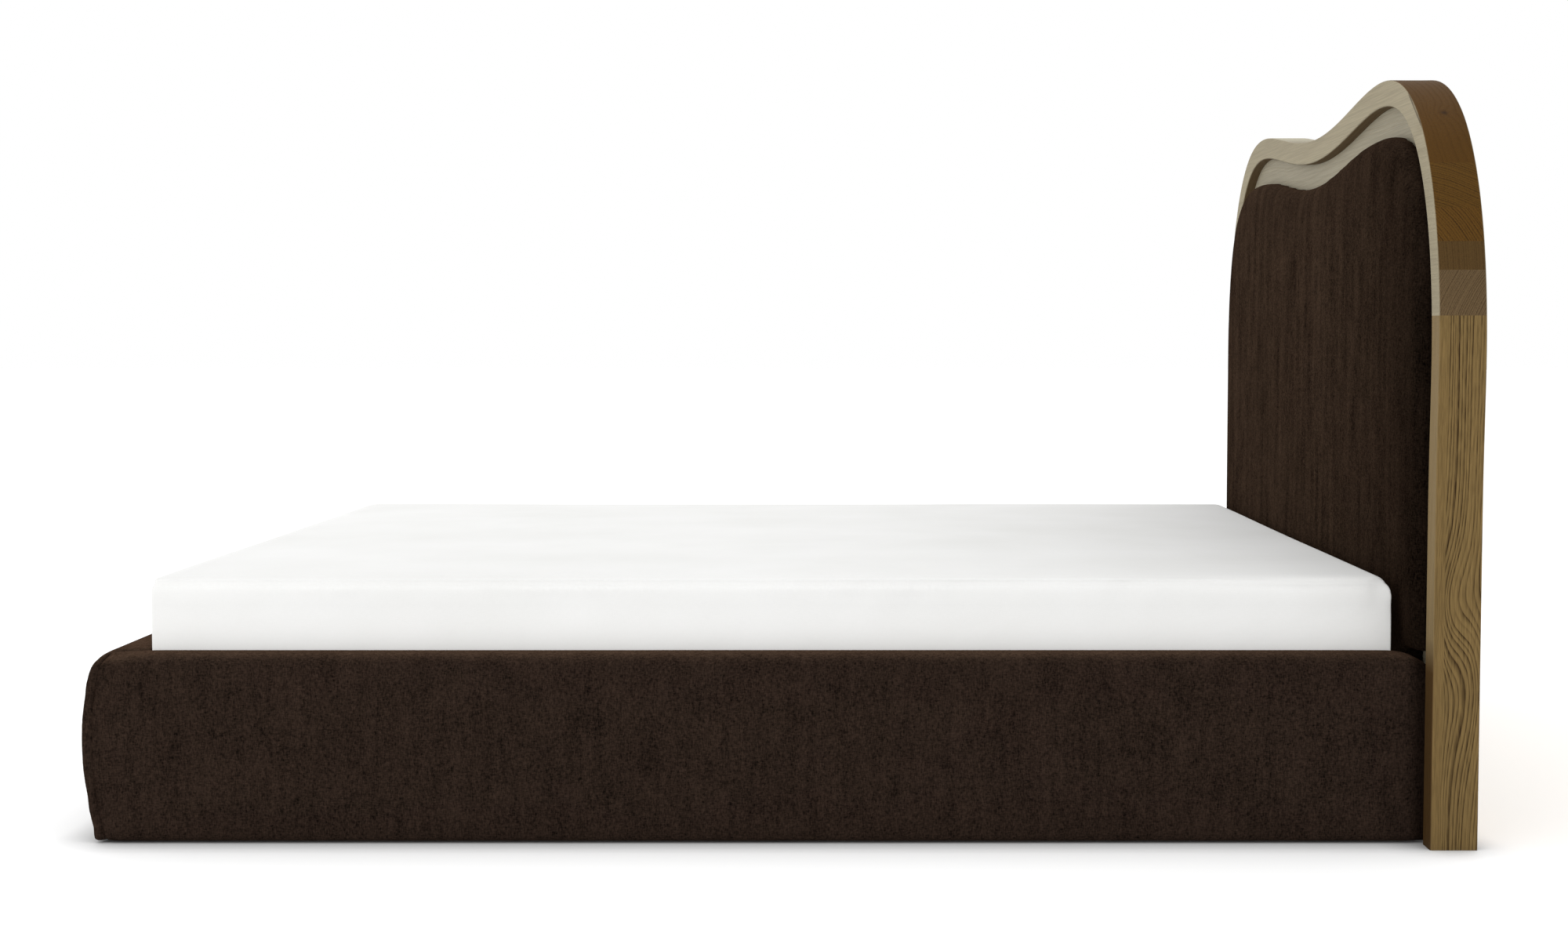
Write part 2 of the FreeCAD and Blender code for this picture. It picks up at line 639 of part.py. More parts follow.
doc.recompute()
os.makedirs("parts", exist_ok=True)
for item in doc.Objects:
    assert not {"Invalid", "Error"} & set(item.State), (item.Name, item.Label, item.State)
for name, item in nodes.items():
    shape = item.Shape
    assert not shape.isNull() and shape.isValid() and shape.Solids, name
    shape.exportStep(f"parts/{name}.step")
    print(f"{name}: {len(shape.Solids)} solids, {shape.Volume / 1e6:.3f} litres")
print(len(nodes), "nodes")
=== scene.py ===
"""Upholstered bed with an oak-framed headboard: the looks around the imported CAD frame."""
import math

import bpy
import numpy as np
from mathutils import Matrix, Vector, kdtree, noise


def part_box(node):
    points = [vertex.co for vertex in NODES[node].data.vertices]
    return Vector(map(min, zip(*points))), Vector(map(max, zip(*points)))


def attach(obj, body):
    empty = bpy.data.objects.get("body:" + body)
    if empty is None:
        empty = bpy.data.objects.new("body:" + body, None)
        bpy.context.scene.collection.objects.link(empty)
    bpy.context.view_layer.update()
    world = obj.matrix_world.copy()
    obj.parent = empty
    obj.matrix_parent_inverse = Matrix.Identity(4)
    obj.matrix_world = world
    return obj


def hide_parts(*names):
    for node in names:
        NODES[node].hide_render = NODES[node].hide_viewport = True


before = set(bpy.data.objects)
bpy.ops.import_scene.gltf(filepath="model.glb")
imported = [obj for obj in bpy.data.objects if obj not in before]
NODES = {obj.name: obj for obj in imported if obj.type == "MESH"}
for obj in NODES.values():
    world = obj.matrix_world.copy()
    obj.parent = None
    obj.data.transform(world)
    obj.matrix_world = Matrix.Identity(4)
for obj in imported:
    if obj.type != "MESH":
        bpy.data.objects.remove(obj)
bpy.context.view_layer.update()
SCENE = bpy.context.scene


# ---------------------------------------------------------------- materials

class Graph:
    """A small helper for building node materials."""

    def __init__(self, name):
        self.mat = bpy.data.materials.new(name)
        self.mat.use_nodes = True
        self.nt = self.mat.node_tree
        self.nt.nodes.clear()
        self.out = self.nt.nodes.new("ShaderNodeOutputMaterial")
        self.bsdf = self.nt.nodes.new("ShaderNodeBsdfPrincipled")
        self.link(self.bsdf.outputs[0], self.out.inputs["Surface"])
        self.coords = self.nt.nodes.new("ShaderNodeTexCoord").outputs["Object"]

    def link(self, a, b):
        self.nt.links.new(a, b)

    def put(self, socket, value):
        if isinstance(value, bpy.types.NodeSocket):
            self.link(value, socket)
        else:
            socket.default_value = value

    def math(self, op, a, b=0.0, c=None, clamp=False):
        n = self.nt.nodes.new("ShaderNodeMath")
        n.operation = op
        n.use_clamp = clamp
        self.put(n.inputs[0], a)
        self.put(n.inputs[1], b)
        if c is not None:
            self.put(n.inputs[2], c)
        return n.outputs[0]

    def mapping(self, vec, scale=(1, 1, 1), loc=(0, 0, 0), rot=(0, 0, 0)):
        n = self.nt.nodes.new("ShaderNodeMapping")
        self.link(vec, n.inputs["Vector"])
        n.inputs["Scale"].default_value = scale
        n.inputs["Location"].default_value = loc
        n.inputs["Rotation"].default_value = rot
        return n.outputs["Vector"]

    def noise(self, vec, scale, detail=4.0, rough=0.5, distort=0.0):
        n = self.nt.nodes.new("ShaderNodeTexNoise")
        self.link(vec, n.inputs["Vector"])
        n.inputs["Scale"].default_value = scale
        n.inputs["Detail"].default_value = detail
        n.inputs["Roughness"].default_value = rough
        n.inputs["Distortion"].default_value = distort
        return n.outputs["Fac"]

    def noise_1d(self, value, seed):
        n = self.nt.nodes.new("ShaderNodeTexNoise")
        n.noise_dimensions = "1D"
        self.link(self.math("ADD", value, seed * 7.1), n.inputs["W"])
        n.inputs["Scale"].default_value = 1.0
        n.inputs["Detail"].default_value = 1.0
        return n.outputs["Fac"]

    def distance(self, vec, point):
        n = self.nt.nodes.new("ShaderNodeVectorMath")
        n.operation = "DISTANCE"
        self.link(vec, n.inputs[0])
        n.inputs[1].default_value = point
        return n.outputs["Value"]

    def ramp(self, fac, stops):
        """stops are (position, value) with value a grey number or a colour."""
        n = self.nt.nodes.new("ShaderNodeValToRGB")
        self.link(fac, n.inputs["Fac"])
        ends = n.color_ramp.elements
        while len(ends) < len(stops):
            ends.new(0.5)
        for e, (at, value) in zip(ends, stops):
            e.position = at
            v = value if hasattr(value, "__len__") else (value, value, value)
            e.color = (*v, 1.0)
        return n.outputs["Color"]

    def mix(self, fac, a, b, blend="MIX"):
        n = self.nt.nodes.new("ShaderNodeMix")
        n.data_type = "RGBA"
        n.blend_type = blend
        self.put(n.inputs["Factor"], fac)
        a_in = [s for s in n.inputs if s.name == "A" and s.type == "RGBA"][0]
        b_in = [s for s in n.inputs if s.name == "B" and s.type == "RGBA"][0]
        self.put(a_in, a if isinstance(a, bpy.types.NodeSocket) else (*a, 1.0))
        self.put(b_in, b if isinstance(b, bpy.types.NodeSocket) else (*b, 1.0))
        return [s for s in n.outputs if s.type == "RGBA"][0]

    def bump(self, height, strength, distance):
        n = self.nt.nodes.new("ShaderNodeBump")
        self.link(height, n.inputs["Height"])
        n.inputs["Strength"].default_value = strength
        n.inputs["Distance"].default_value = distance
        self.link(n.outputs["Normal"], self.bsdf.inputs["Normal"])

    def split(self, vec):
        n = self.nt.nodes.new("ShaderNodeSeparateXYZ")
        self.link(vec, n.inputs[0])
        return n.outputs

    def normal(self):
        return self.nt.nodes.new("ShaderNodeNewGeometry").outputs["Normal"]

    def fixed(self, **values):
        for k, v in values.items():
            self.bsdf.inputs[k.replace("_", " ")].default_value = v


def srgb(r, g, b):
    """Linear colour of an 8-bit display colour."""
    return tuple(
        (c / 12.92 if c <= 0.04045 else ((c + 0.055) / 1.055) ** 2.4)
        for c in (r / 255, g / 255, b / 255)
    )


def fabric_nap(g, dark, light, side_dark=0.0, sheen=0.1, streaks=0.4, run=(60, 60, 9), crest=0.35,
               end_dark=None, gain=1.5):
    """Short-pile velvet: blotches, upright nap streaks and fine threads."""
    blotch = g.noise(g.coords, 15.0, 6.0, 0.62, 0.3)
    streak = g.noise(g.mapping(g.coords, run), 1.0, 4.0, 0.65)
    thread = g.noise(g.mapping(g.coords, (470, 470, 150)), 1.0, 2.0, 0.6)
    cross = g.noise(g.mapping(g.coords, (150, 150, 470)), 1.0, 2.0, 0.6)
    tone = g.math("MULTIPLY", blotch, 0.4)
    tone = g.math("MULTIPLY_ADD", streak, streaks, tone)
    tone = g.math("MULTIPLY_ADD", thread, 1.0, tone)
    tone = g.math("MULTIPLY_ADD", cross, 0.8, tone)
    tone = g.math("MULTIPLY_ADD", tone, gain, 0.5 - gain * (2.2 + streaks) / 2, clamp=True)
    colour = g.mix(tone, dark, light)
    # painted highlight: faces turned upwards take a lighter colour, light from above painted into the
    # velvet; crest sets how much
    up = g.math("POWER", g.math("MAXIMUM", g.split(g.normal())[2], 0.0), 3.0)
    painted_top_highlight = g.mix(tone, srgb(62, 46, 36), srgb(104, 84, 68))
    colour = g.mix(g.math("MULTIPLY", up, crest), colour, painted_top_highlight)
    shade = None
    # painted shade: darker towards the ends in X, over a wide band on the +X side and only at the very edge
    # on the -X side
    if side_dark:
        across = g.math("MULTIPLY_ADD", g.split(g.coords)[0], 0.5, 0.5)
        across = g.ramp(across, [(0.07, 0.6), (0.1, 0.15), (0.16, 0.0), (0.62, 0.08), (0.8, 0.42),
                                 (0.88, 0.64), (0.92, 0.9), (0.931, 1.0)])
        shade = g.math("MULTIPLY_ADD", across, -side_dark, 1.0)
    # painted shade: darker past this Y, where the rail's end meets the headboard leg
    if end_dark:
        past = g.math("SUBTRACT", g.split(g.coords)[1], end_dark)
        past = g.math("MULTIPLY", past, 80.0, clamp=True)
        shade = g.math("MULTIPLY_ADD", past, -0.45, 1.0)
    if shade is not None:
        scaled = g.nt.nodes.new("ShaderNodeVectorMath")
        scaled.operation = "SCALE"
        g.link(colour, scaled.inputs[0])
        g.link(shade, scaled.inputs["Scale"])
        colour = scaled.outputs["Vector"]
    g.put(g.bsdf.inputs["Base Color"], colour)
    g.put(g.bsdf.inputs["Roughness"], g.math("MULTIPLY_ADD", blotch, 0.15, 0.8))
    g.fixed(Specular_IOR_Level=0.0, Sheen_Weight=sheen, Sheen_Roughness=0.35,
            Sheen_Tint=(*srgb(150, 112, 88), 1.0))
    height = g.math("MULTIPLY_ADD", thread, 0.6, g.math("MULTIPLY", cross, 0.4))
    g.bump(height, 0.3, 0.001)


def make_velvet(name, dark, light, **kw):
    g = Graph(name)
    fabric_nap(g, srgb(*dark), srgb(*light), **kw)
    return g.mat


def make_oak(name, along, face, edge, lines, seed, hatch=0.0, pitch=0.004,
             swirl=0.6, length=0.11, size=7.0, strip=None, knots=(), contrast=1.0, wobble=0.3,
             edge_contrast=1.0, painted_far_top_light=None, joint=None, painted_shade_below=None, pith=None):
    """Oiled oak. along is the grain's axis; growth rings are contours of one solid
    field, so each face of the board shows the figure it would really have. pith is
    the middle of the tree (y, z) where the end grain shows its arcs."""
    g = Graph(name)
    shrink = {"X": (length, 1, 1), "Y": (1, length, 1), "Z": (1, 1, length)}[along]
    base = g.mapping(g.coords, shrink, (seed * 0.73, seed * 0.31, seed * 0.57))
    slow = g.noise(base, size, 1.0, 0.5, 0.2)
    mid = g.noise(base, 26.0, 2.0, 0.5)
    x, y, z = g.split(g.coords)[0:3]
    if pith:
        ring = g.math("MULTIPLY", g.distance(g.mapping(g.coords, (0.04, 1, 1)), (0, *pith)),
                      1 / pitch)
    else:
        across = {"X": (y, z), "Y": (x, z), "Z": (y, x)}[along]
        ring = g.math("MULTIPLY", across[0], math.cos(hatch) / pitch)
        ring = g.math("MULTIPLY_ADD", across[1], math.sin(hatch) / pitch, ring)
    ring = g.math("MULTIPLY_ADD", slow, swirl * 4.0, ring)
    ring = g.math("MULTIPLY_ADD", mid, wobble * 3.0, ring)
    spot = None
    for where, radius, tall, push in knots:
        away = g.distance(g.mapping(g.coords, (1, 1, 1 / tall)),
                          (where[0], where[1], where[2] / tall))
        near = g.math("POWER", g.math("DIVIDE", away, radius), 2.0)
        bell = g.math("EXPONENT", g.math("MULTIPLY", near, -1.0))
        ring = g.math("MULTIPLY_ADD", bell, push, ring)
        if tall == 1:
            spot = g.math("EXPONENT", g.math("MULTIPLY", near, -14.0))
    uneven = g.noise_1d(g.math("MULTIPLY", ring, 0.31), seed)
    ring = g.math("MULTIPLY_ADD", uneven, 1.6, ring)
    saw = g.math("FRACT", ring)
    line = g.ramp(saw, [(0.0, 0.3), (0.12, 0.0), (0.45, 0.05), (0.8, 0.55),
                        (0.95, 1.0), (1.0, 0.3)])
    force = g.noise_1d(g.math("MULTIPLY", g.math("FLOOR", ring), 1.7), seed + 3.3)
    force = g.ramp(force, [(0.36, 0.35), (0.6, 1.0)])
    pore_map = {"X": (34, 520, 520), "Y": (520, 34, 520), "Z": (520, 520, 34)}[along]
    pores = g.noise(g.mapping(g.coords, pore_map), 1.0, 2.0, 0.5)
    pore = g.ramp(pores, [(0.42, 0.0), (0.62, 1.0)])
    fibre_map = {"X": (7, 800, 800), "Y": (800, 7, 800), "Z": (800, 800, 7)}[along]
    fibre = g.noise(g.mapping(g.coords, fibre_map), 1.0, 2.0, 0.5)
    line = g.math("MULTIPLY", g.math("MULTIPLY", line, force),
                  g.math("MULTIPLY_ADD", pore, 0.4, 0.6))
    cloud = g.noise(base, 3.1, 4.0, 0.55)
    nx, ny, nz = g.split(g.normal())[0:3]
    # Faces turned away from ±Y take the darker edge colour, partly the darker edge and end grain and partly
    # painted shade on the sides; faces turned inwards take less of it, a painted lighter recess wall
    side = g.ramp(g.math("ABSOLUTE", ny), [(0.25, 1.0), (0.8, 0.0)])
    strength = g.mix(side, (0.3 * contrast,) * 3, (0.85 * edge_contrast,) * 3)
    outward = g.math("MULTIPLY_ADD", g.math("SUBTRACT", z, 0.6), nz, g.math("MULTIPLY", x, nx))
    inner = g.math("LESS_THAN", outward, 0.0)
    ground = g.mix(g.math("MULTIPLY", side, g.math("MULTIPLY_ADD", inner, -0.22, 1.0)), face, edge)
    # painted light: upward faces on the -X side take a paler colour, as if lit from above
    if painted_far_top_light:
        x_far = g.math("MULTIPLY_ADD", x, -2.0, 0.1, clamp=True)
        up = g.math("MULTIPLY_ADD", nz, 2.5, -1.4, clamp=True)
        ground = g.mix(g.math("MULTIPLY", x_far, up), ground, painted_far_top_light)
    figure = g.math("MULTIPLY", line, strength)
    if strip:
        low = g.math("LESS_THAN", y, strip[0])
        calm = g.math("MULTIPLY_ADD", low, -0.8, 1.0)
        figure = g.math("MULTIPLY", figure, calm)
        ground = g.mix(g.math("MULTIPLY", low, 0.35), ground, strip[1])
    colour = g.mix(figure, ground, lines)
    colour = g.mix(g.math("MULTIPLY", pore, g.math("MULTIPLY", strength, 0.16)), colour, lines)
    if joint:
        dot = g.nt.nodes.new("ShaderNodeVectorMath")
        dot.operation = "DOT_PRODUCT"
        g.link(g.coords, dot.inputs[0])
        dot.inputs[1].default_value = joint[0]
        off = g.math("ABSOLUTE", g.math("SUBTRACT", dot.outputs["Value"], joint[1]))
        glue = g.math("MULTIPLY_ADD", off, -1 / joint[2], 1.0, clamp=True)
        right = g.math("GREATER_THAN", x, 0.6)
        front = g.math("SUBTRACT", 1.0, side)
        glue = g.math("MULTIPLY", g.math("MULTIPLY", glue, right), g.math("MULTIPLY", front, 0.8))
        colour = g.mix(glue, colour, lines)
    # painted shade: faces turned to ±Y below this height are darkened to a dark brown, the shade beside the
    # rail's end
    if painted_shade_below:
        below = g.math("MULTIPLY_ADD", z, -18.0, painted_shade_below * 18, clamp=True)
        front = g.math("SUBTRACT", 1.0, side)
        colour = g.mix(g.math("MULTIPLY", below, g.math("MULTIPLY", front, 0.85)),
                       colour, srgb(60, 37, 10))
    shade = g.ramp(cloud, [(0.3, 0.88), (0.7, 1.1)])
    colour = g.mix(1.0, colour, shade, "MULTIPLY")
    colour = g.mix(1.0, colour, g.ramp(fibre, [(0.3, 0.86), (0.7, 1.1)]), "MULTIPLY")
    if spot is not None:
        colour = g.mix(g.math("MULTIPLY", spot, 0.9), colour, srgb(44, 28, 14))
    g.put(g.bsdf.inputs["Base Color"], colour)
    g.put(g.bsdf.inputs["Roughness"], g.math("MULTIPLY_ADD", line, 0.1, 0.6))
    g.fixed(Specular_IOR_Level=0.06)
    height = g.math("MULTIPLY_ADD", pore, -0.4, g.math("MULTIPLY", line, -0.6))
    g.bump(height, 0.3, 0.0008)
    return g.mat


def make_plain_wood(name, along, light, dark, seed, bands=0.0):
    """Planed softwood, beech or plywood for the hidden frame."""
    g = Graph(name)
    stretch = {"X": (0.06, 1, 1), "Y": (1, 0.06, 1), "Z": (1, 1, 0.06)}[along]
    base = g.mapping(g.coords, stretch, (seed, seed * 0.7, seed * 0.4))
    figure = g.noise(base, 38.0, 5.0, 0.6, 0.7)
    fine = g.noise(g.mapping(g.coords, tuple(700 * s for s in stretch)), 1.0, 2.0)
    tone = g.math("MULTIPLY_ADD", fine, 0.3, figure)
    colour = g.mix(g.ramp(tone, [(0.42, 0.0), (0.86, 1.0)]), light, dark)
    if bands:
        saw = g.math("FRACT", g.math("MULTIPLY", g.split(g.coords)[1], 1 / bands))
        colour = g.mix(g.ramp(saw, [(0.44, 0.0), (0.5, 0.5), (0.94, 0.5), (1.0, 0.0)]),
                       colour, dark)
    g.put(g.bsdf.inputs["Base Color"], colour)
    g.put(g.bsdf.inputs["Roughness"], g.math("MULTIPLY_ADD", fine, 0.2, 0.52))
    g.bump(tone, 0.2, 0.0006)
    return g.mat


def make_cotton(name, light, dark):
    """Taut cotton percale."""
    g = Graph(name)
    slow = g.noise(g.coords, 3.4, 3.0, 0.5)
    warp = g.noise(g.mapping(g.coords, (900, 120, 900)), 1.0, 2.0)
    weft = g.noise(g.mapping(g.coords, (120, 900, 120)), 1.0, 2.0)
    weave = g.math("MULTIPLY_ADD", warp, 0.5, g.math("MULTIPLY", weft, 0.5))
    tone = g.math("MULTIPLY_ADD", weave, 0.5, slow)
    g.put(g.bsdf.inputs["Base Color"],
          g.mix(g.ramp(tone, [(0.45, 0.0), (1.05, 1.0)]), light, dark))
    g.put(g.bsdf.inputs["Roughness"], g.math("MULTIPLY_ADD", weave, 0.1, 0.82))
    g.fixed(Specular_IOR_Level=0.2, Sheen_Weight=0.1, Sheen_Roughness=0.5)
    z = g.split(g.coords)[2]
    near_edge = g.math("POWER", g.math("DIVIDE", g.math("SUBTRACT", z, 0.404), 0.012), 2.0)
    near_edge = g.math("EXPONENT", g.math("MULTIPLY", near_edge, -1.0))
    pucker = g.noise(g.mapping(g.coords, (46, 46, 14)), 1.0, 3.0, 0.6, 0.6)
    where = g.ramp(g.noise(g.coords, 2.3, 1.0), [(0.46, 0.0), (0.6, 1.0)])
    pucker = g.math("MULTIPLY", g.math("MULTIPLY", pucker, near_edge), where)
    wave = g.noise(g.mapping(g.coords, (3.0, 3.0, 5.0)), 1.0, 3.0, 0.55, 0.8)
    groove = g.math("POWER", g.math("DIVIDE", g.math("SUBTRACT", z, 0.4125), 0.0022), 2.0)
    groove = g.math("EXPONENT", g.math("MULTIPLY", groove, -1.0))
    height = g.math("MULTIPLY_ADD", pucker, 26.0, g.math("MULTIPLY", weave, 0.6))
    height = g.math("MULTIPLY_ADD", groove, -5.0, height)
    g.bump(g.math("MULTIPLY_ADD", wave, 20.0, height), 0.25, 0.0005)
    # not a property of cotton: a faint glow low on the sides, which lifts the rail's
    # shade at rest, and is too bright where the mattress is lifted clear of the rail
    low = g.ramp(z, [(0.30, 1.0), (0.335, 0.55), (0.375, 0.0)])
    g.put(g.bsdf.inputs["Emission Strength"], g.math("MULTIPLY", low, 0.16))
    g.fixed(Emission_Color=(0.98, 0.97, 0.94, 1))
    return g.mat


def make_ticking(name):
    """Mattress ticking with a woven stripe."""
    g = Graph(name)
    y = g.split(g.coords)[1]
    stripe = g.math("FRACT", g.math("MULTIPLY", y, 22.0))
    weave = g.noise(g.mapping(g.coords, (500, 500, 500)), 1.0, 3.0)
    colour = g.mix(g.ramp(stripe, [(0.46, 0.0), (0.5, 1.0), (0.62, 1.0), (0.66, 0.0)]),
                   srgb(232, 229, 222), srgb(205, 202, 196))
    g.put(g.bsdf.inputs["Base Color"], g.mix(g.math("MULTIPLY", weave, 0.2), colour,
                                             srgb(180, 176, 168)))
    g.put(g.bsdf.inputs["Roughness"], g.math("MULTIPLY_ADD", weave, 0.1, 0.85))
    g.bump(weave, 0.3, 0.0008)
    return g.mat


def make_steel(name):
    g = Graph(name)
    spangle = g.noise(g.coords, 160.0, 3.0, 0.6, 0.5)
    fine = g.noise(g.coords, 1500.0, 2.0)
    g.put(g.bsdf.inputs["Base Color"],
          g.mix(spangle, srgb(168, 170, 172), srgb(205, 206, 205)))
    g.put(g.bsdf.inputs["Roughness"], g.math("MULTIPLY_ADD", spangle, 0.25, 0.24))
    g.fixed(Metallic=1.0)
    g.bump(fine, 0.12, 0.0002)
    return g.mat


def make_plastic(name):
    g = Graph(name)
    grain = g.noise(g.coords, 1400.0, 3.0, 0.6)
    g.put(g.bsdf.inputs["Base Color"], g.mix(grain, srgb(20, 20, 21), srgb(38, 38, 39)))
    g.put(g.bsdf.inputs["Roughness"], g.math("MULTIPLY_ADD", grain, 0.2, 0.42))
    g.bump(grain, 0.25, 0.0003)
    return g.mat


VELVET = make_velvet("brown_velvet", (13, 9, 7), (53, 41, 34), end_dark=1.012)
PAD_VELVET = make_velvet("brown_velvet_pad", (12, 8, 6), (60, 47, 37), side_dark=0.72,
                         sheen=0.05, streaks=0.7, run=(30, 30, 4), crest=0.2, gain=1.6)
COTTON = make_cotton("white_cotton", srgb(232, 232, 231), srgb(224, 224, 222))
TICKING = make_ticking("mattress_ticking")
STEEL = make_steel("zinc_steel")
PLASTIC = make_plastic("black_plastic")
PLYWOOD = make_plain_wood("plywood", "X", srgb(205, 180, 138), srgb(160, 128, 86), 0.3, 0.0036)
BEECH = make_plain_wood("beech", "X", srgb(214, 184, 142), srgb(176, 138, 98), 1.7)
PINE = make_plain_wood("pine", "Y", srgb(222, 194, 146), srgb(184, 142, 88), 2.9)
PINE_X = make_plain_wood("pine_cross", "X", srgb(222, 194, 146), srgb(184, 142, 88), 4.1)

FACE = srgb(142, 133, 111)
WARM = srgb(88, 60, 27)
BLACKISH = srgb(36, 23, 9)
OAK = {
    "headboard_top_board": make_oak(
        "oak_top", "X", FACE, srgb(76, 51, 16), srgb(44, 28, 9), 1.0, hatch=0.12, pitch=0.0085, swirl=0.9,
        size=9.0, knots=[((0.768, 1.076, 1.168), 0.022, 1, 2.0)], joint=((0.594, 0, 0.805), 1.395, 0.0032),
        contrast=0.5, edge_contrast=0.35, painted_far_top_light=srgb(192, 187, 166)),
    "headboard_block_4": make_oak(
        "oak_block_4", "X", FACE, srgb(86, 60, 21), BLACKISH, 2.0, pitch=0.0038, pith=(0.951, 0.717),
        size=12.0, swirl=0.35, wobble=0.14, contrast=0.25, edge_contrast=1.35),
    "headboard_block_3": make_oak(
        "oak_block_3", "X", FACE, srgb(87, 60, 21), BLACKISH, 3.3, pitch=0.0040, pith=(0.824, 0.813),
        size=12.0, swirl=0.3, wobble=0.14, contrast=0.25, edge_contrast=1.45),
    "headboard_block_2": make_oak(
        "oak_block_2", "X", FACE, srgb(79, 59, 31), BLACKISH, 4.1, pitch=0.0042, pith=(0.57, 0.93),
        size=8.0, swirl=0.3, wobble=0.2, contrast=0.25, edge_contrast=0.8),
    "headboard_block_1": make_oak(
        "oak_block_1", "X", FACE, srgb(97, 79, 55), srgb(46, 32, 17), 5.7, pitch=0.0031, pith=(1.29, 0.752),
        size=12.0, swirl=0.35, wobble=0.14, contrast=0.25, edge_contrast=1.4),
    "headboard_leg": make_oak(
        "oak_leg", "Z", srgb(134, 116, 84), srgb(122, 100, 62), srgb(42, 27, 11), 6.4, hatch=0.1,
        pitch=0.0047, swirl=2.4, length=0.15, size=8.0, wobble=0.35, contrast=0.8, edge_contrast=1.5,
        knots=[((0.915, 1.062, 0.385), 0.042, 2.2, 6.0), ((0.915, 1.088, 0.27), 0.05, 2.6, -5.0)],
        strip=(1.049, srgb(112, 90, 54)), painted_shade_below=0.335),
    "headboard_panel": make_oak(
        "oak_panel", "X", srgb(150, 143, 124), WARM, srgb(118, 103, 76), 8.2, hatch=1.25, pitch=0.008,
        swirl=2.4, length=0.3, contrast=1.0),
}


def paint(node, mat):
    NODES[node].data.materials.clear()
    NODES[node].data.materials.append(mat)


BY_SLOT = {
    "oak_frame": OAK["headboard_leg"], "oak_panel": OAK["headboard_panel"],
    "brown_velvet": VELVET, "white_sheet": COTTON, "plywood": PLYWOOD,
    "beech": BEECH, "pine": PINE, "zinc_steel": STEEL, "black_plastic": PLASTIC,
}
for node, thing in NODES.items():
    paint(node, BY_SLOT[thing.data.materials[0].name.split(".")[0]])
for node in NODES:
    for stem, mat in OAK.items():
        if node.startswith(stem):
            paint(node, mat)
for node in ("head_crossrail", "headboard_crossbar_low", "headboard_crossbar_middle",
             "headboard_crossbar_upper"):
    paint(node, PINE_X)


# ---------------------------------------------------------------- soft goods

def add_object(name, mesh, mat=None):
    thing = bpy.data.objects.new(name, mesh)
    SCENE.collection.objects.link(thing)
    mesh.materials.clear()
    if mat:
        mesh.materials.append(mat)
    return thing


def copied(node, name, mat):
    return add_object(name, NODES[node].data.copy(), mat)


def bake(thing):
    """Turns the modifiers' result into the object's own mesh."""
    graph = bpy.context.evaluated_depsgraph_get()
    mesh = bpy.data.meshes.new_from_object(thing.evaluated_get(graph))
    old = thing.data
    thing.modifiers.clear()
    thing.data = mesh
    bpy.data.meshes.remove(old)
    mesh.name = thing.name


def points(mesh):
    co = np.zeros(len(mesh.vertices) * 3)
    mesh.vertices.foreach_get("co", co)
    return co.reshape(-1, 3)


def set_points(mesh, co):
    mesh.vertices.foreach_set("co", co.ravel())
    mesh.update()


def normals(mesh):
    n = np.zeros(len(mesh.vertices) * 3)
    mesh.vertex_normals.foreach_get("vector", n)
    return n.reshape(-1, 3)


def step(t):
    t = np.clip(t, 0, 1)
    return t * t * (3 - 2 * t)


def remeshed(thing, voxel):
    m = thing.modifiers.new("remesh", "REMESH")
    m.mode = "VOXEL"
    m.voxel_size = voxel
    m.use_smooth_shade = True
    bake(thing)


def smoothed(thing, repeat, factor=0.5):
    m = thing.modifiers.new("smooth", "SMOOTH")
    m.factor = factor
    m.iterations = repeat
    bake(thing)


def snapped(thing, node):
    """Puts the skin exactly on the surface of its CAD solid."""
    m = thing.modifiers.new("snap", "SHRINKWRAP")
    m.target = NODES[node]
    m.wrap_method = "NEAREST_SURFACEPOINT"
    bake(thing)


def welded(thing, reach=0.0008):
    """Joins points that snapping has brought together: the cloth solver gives up,
    and leaves the skin unmoved, at an edge that has no length."""
    m = thing.modifiers.new("weld", "WELD")
    m.merge_threshold = reach
    bake(thing)


def relaxed(mesh, values, rounds):
    """Averages a value at each point with its neighbours'."""
    pairs = np.zeros(len(mesh.edges) * 2, int)
    mesh.edges.foreach_get("vertices", pairs)
    a, b = pairs[0::2], pairs[1::2]
    count = np.bincount(pairs, minlength=len(values))
    for _ in range(rounds):
        near = np.bincount(a, values[b], len(values)) + np.bincount(b, values[a], len(values))
        values = 0.5 * values + 0.5 * near / np.maximum(count, 1)
    return values


SIM_FRAMES = 20
LEAST_SWELL = 0.0005   # a simulation that spreads the points by less has not run


